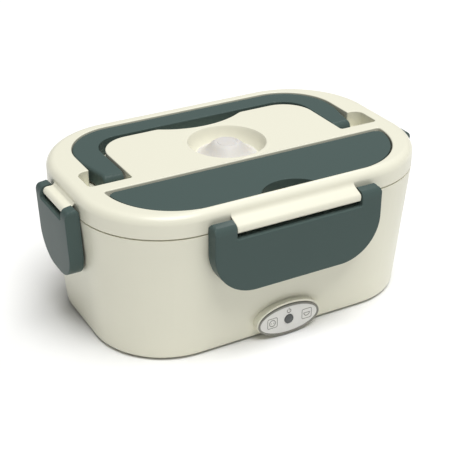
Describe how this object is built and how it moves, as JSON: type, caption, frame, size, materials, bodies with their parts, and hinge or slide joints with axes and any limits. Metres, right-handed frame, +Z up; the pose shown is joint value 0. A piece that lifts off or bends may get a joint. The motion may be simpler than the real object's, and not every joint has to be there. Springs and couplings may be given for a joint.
{
  "type": "electric lunch box",
  "caption": "Heated lunch box with a lift-off lid held by swing latches, a fold-flat carrying handle, a cutlery compartment, a steam valve and a lift-out steel tray.",
  "frame": {"origin": "bottom centre: the middle of the box that the closed part fills, on the plane under its feet", "axes": "+X along the length to the right, +Y to the back (the panel is on the -Y side), +Z up"},
  "size_m": [0.2428, 0.1648, 0.099],
  "materials": {
    "cream_plastic": "satin cream polypropylene with a fine moulded grain",
    "green_plastic": "satin grey-green plastic",
    "inner_plastic": "satin off-white polypropylene",
    "stainless": "brushed stainless steel",
    "aluminium_plate": "fine brushed aluminium",
    "silicone": "translucent grey-white silicone",
    "foot_rubber": "matte dark rubber",
    "screw_steel": "zinc plated steel",
    "element": "mica and foil element",
    "black_plastic": "black moulded plastic",
    "contact_metal": "nickel plated contact",
    "ceramic": "glazed ceramic",
    "mains_wire": "silicone insulated wire, red",
    "dark_wire": "silicone insulated wire, dark",
    "pale_wire": "silicone insulated wire, pale",
    "circuit_board": "green solder mask",
    "led_lens": "smoked clear lens",
    "ring_grey": "grey printed ring",
    "label_white": "off-white printed label"
  },
  "bodies": {
    "base": {"outer_housing": "cream_plastic", "inner_liner": "inner_plastic", "bottom_cover": "cream_plastic", "feet": "foot_rubber", "base_screws": "screw_steel", "heater_plate": "aluminium_plate", "heater_seal": "silicone", "ac_heater": "element", "dc_heater": "element", "heater_clamp": "stainless", "clamp_screws": "screw_steel", "thermostat": "black_plastic", "thermal_fuse": "ceramic", "ac_inlet": "black_plastic", "ac_inlet_pins": "contact_metal", "dc_socket": "black_plastic", "dc_socket_pin": "contact_metal", "ac_wires": "mains_wire", "dc_wires": "dark_wire", "led_wires": "pale_wire", "led_board": "circuit_board", "power_led": "led_lens", "panel_bezel": "ring_grey", "panel_label": "label_white"},
    "tray": {"food_tray": "stainless"},
    "dish": {"side_dish_box": "inner_plastic"},
    "dish_lid": {"side_dish_lid": "green_plastic"},
    "lid": {"lid_shell": "cream_plastic", "lid_inner_plate": "inner_plastic", "lid_seal": "silicone", "handle_pins": "screw_steel", "cover_pins": "screw_steel", "latch_pins": "screw_steel", "spoon": "stainless", "fork": "stainless"},
    "valve": {"steam_valve": "silicone"},
    "handle": {"handle": "green_plastic"},
    "cover": {"cutlery_cover": "green_plastic"},
    "latch_front": {"latch_front": "green_plastic"},
    "latch_rear": {"latch_rear": "green_plastic"},
    "latch_left": {"latch_left": "green_plastic"},
    "latch_right": {"latch_right": "green_plastic"}
  },
  "joints": [
    {"name": "lid_lift", "type": "slide", "parent": "base", "child": "lid", "axis": [0, 0, 1], "range_m": [0, 0.13]},
    {"name": "tray_lift", "type": "slide", "parent": "base", "child": "tray", "axis": [0, 0, 1], "range_m": [0, 0.065]},
    {"name": "dish_lift", "type": "slide", "parent": "tray", "child": "dish", "axis": [0, 0, 1], "range_m": [0, 0.0325]},
    {"name": "dish_lid_lift", "type": "slide", "parent": "dish", "child": "dish_lid", "axis": [0, 0, 1], "range_m": [0, 0.01625]},
    {"name": "handle_turn", "type": "hinge", "parent": "lid", "child": "handle", "pos_m": [0, 0.0014, 0.093], "axis": [1, 0, 0], "range_deg": [0, 90]},
    {"name": "cover_turn", "type": "hinge", "parent": "lid", "child": "cover", "pos_m": [0, -0.0258, 0.0952], "axis": [-1, 0, 0], "range_deg": [0, 100]},
    {"name": "valve_pull", "type": "slide", "parent": "lid", "child": "valve", "axis": [0, 0, 1], "range_m": [0, 0.003]},
    {"name": "latch_front_turn", "type": "hinge", "parent": "lid", "child": "latch_front", "pos_m": [0, -0.0779, 0.0886], "axis": [-1, 0, 0], "range_deg": [0, 115]},
    {"name": "latch_rear_turn", "type": "hinge", "parent": "lid", "child": "latch_rear", "pos_m": [0, 0.0779, 0.0886], "axis": [1, 0, 0], "range_deg": [0, 115]},
    {"name": "latch_left_turn", "type": "hinge", "parent": "lid", "child": "latch_left", "pos_m": [-0.1169, 0, 0.0886], "axis": [0, 1, 0], "range_deg": [0, 115]},
    {"name": "latch_right_turn", "type": "hinge", "parent": "lid", "child": "latch_right", "pos_m": [0.1169, 0, 0.0886], "axis": [0, -1, 0], "range_deg": [0, 115]}
  ],
  "couplings": [
    {"joint": "tray_lift", "follows": "lid_lift", "ratio": 0.5},
    {"joint": "dish_lift", "follows": "lid_lift", "ratio": 0.25},
    {"joint": "dish_lid_lift", "follows": "lid_lift", "ratio": 0.125}
  ]
}
